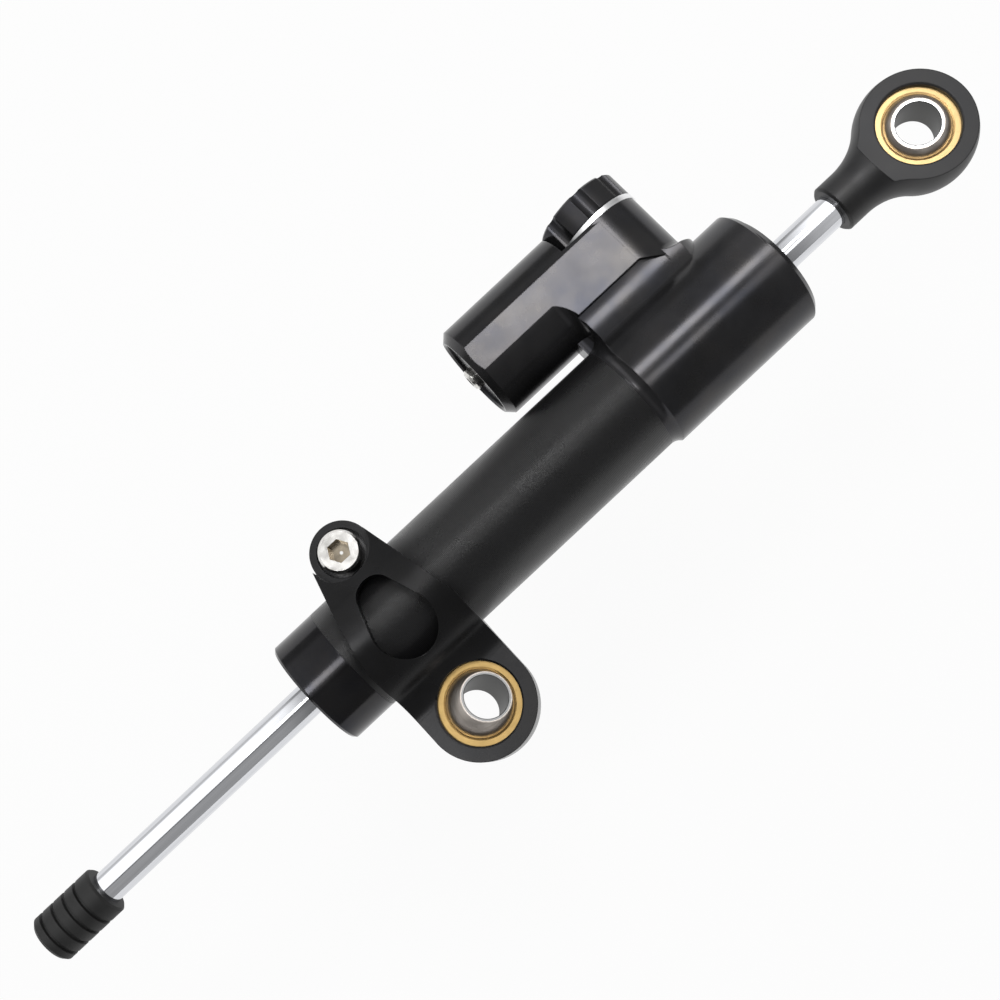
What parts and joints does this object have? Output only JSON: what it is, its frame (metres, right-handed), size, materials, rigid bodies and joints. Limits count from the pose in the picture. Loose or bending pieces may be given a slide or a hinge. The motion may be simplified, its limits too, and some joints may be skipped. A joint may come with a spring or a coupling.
{
  "type": "motorcycle steering damper",
  "caption": "Linear steering damper with a through rod, piggyback reservoir, click adjuster, split frame clamp and spherical bearings at both mounting eyes.",
  "frame": {"origin": "centre of the spherical bearing in the frame clamp's eye", "axes": "+X along the damper towards the rod eye, +Y from the frame eye across the cylinder towards the reservoir and knob, +Z out of the flat faces of both eyes"},
  "size_m": [0.2845, 0.0824, 0.0348],
  "materials": {
    "anodised": "black anodised, satin, fine turning lines",
    "knob": "black anodised, satin",
    "rubber": "matte black",
    "seal": "matte green",
    "chrome": "hard chrome, polished",
    "steel": "fine ground",
    "screw": "bright plated",
    "brass": "turned",
    "alloy": "turned, bare",
    "ring": "turned, bright"
  },
  "bodies": {
    "damper_body": {"housing": "anodised", "cylinder_tube": "anodised", "inner_cylinder": "steel", "gland_cap": "anodised", "lower_bush": "brass", "lower_seal": "seal", "lower_wiper": "rubber", "lower_retainer": "steel", "upper_bush": "brass", "upper_seal": "seal", "upper_wiper": "rubber", "upper_retainer": "steel", "cap_oring": "rubber", "housing_oring": "rubber", "knob_ring": "ring", "valve_body": "brass", "spindle_oring": "rubber", "reservoir_plug": "anodised", "plug_oring": "rubber", "bleed_screw": "screw", "compensator_spring": "steel"},
    "piston_group": {"piston": "alloy", "piston_ring": "rubber"},
    "rod": {"piston_rod": "chrome", "piston_retainers": "steel", "end_stop": "rubber", "rod_eye": "anodised", "rod_race": "brass"},
    "rod_ball": {"rod_ball": "chrome"},
    "clamp": {"clamp": "anodised", "frame_race": "brass", "pinch_screw": "screw"},
    "frame_ball": {"frame_ball": "chrome"},
    "adjuster": {"adjuster_knob": "knob", "knob_screw": "steel", "valve_spindle": "steel", "click_ball": "steel", "click_spring": "steel"},
    "needle": {"valve_needle": "steel"},
    "compensator": {"compensator_piston": "alloy", "compensator_ring": "rubber"}
  },
  "joints": [
    {"name": "rod_slide", "type": "slide", "parent": "damper_body", "child": "piston_group", "axis": [1, 0, 0], "range_m": [-0.018, 0.065]},
    {"name": "rod_spin", "type": "hinge", "parent": "piston_group", "child": "rod", "pos_m": [0.0225, 0.0278, 0], "axis": [1, 0, 0], "continuous": true},
    {"name": "rod_ball_tilt", "type": "hinge", "parent": "rod", "child": "rod_ball", "pos_m": [0.1613, 0.0278, 0], "axis": [0, 1, 0], "range_deg": [-18, 29]},
    {"name": "clamp_slide", "type": "slide", "parent": "damper_body", "child": "clamp", "axis": [1, 0, 0], "range_m": [-0.012, 0.038]},
    {"name": "frame_ball_tilt", "type": "hinge", "parent": "clamp", "child": "frame_ball", "pos_m": [0, 0, 0], "axis": [0, 1, 0], "range_deg": [-45, 2.5]},
    {"name": "knob_turn", "type": "hinge", "parent": "damper_body", "child": "adjuster", "pos_m": [0.09425, 0.0662, 0], "axis": [0, 1, 0], "range_deg": [-216, 144]},
    {"name": "needle_slide", "type": "slide", "parent": "damper_body", "child": "needle", "axis": [0, 1, 0], "range_m": [-0.0005, 0.0005]},
    {"name": "compensator_slide", "type": "slide", "parent": "damper_body", "child": "compensator", "axis": [1, 0, 0], "range_m": [-0.003, 0.003], "stiffness_N_per_m": 1500, "deforming": ["compensator_spring"]}
  ],
  "couplings": [
    {"joint": "needle_slide", "follows": "knob_turn", "m_per_rad": 0.000119}
  ]
}
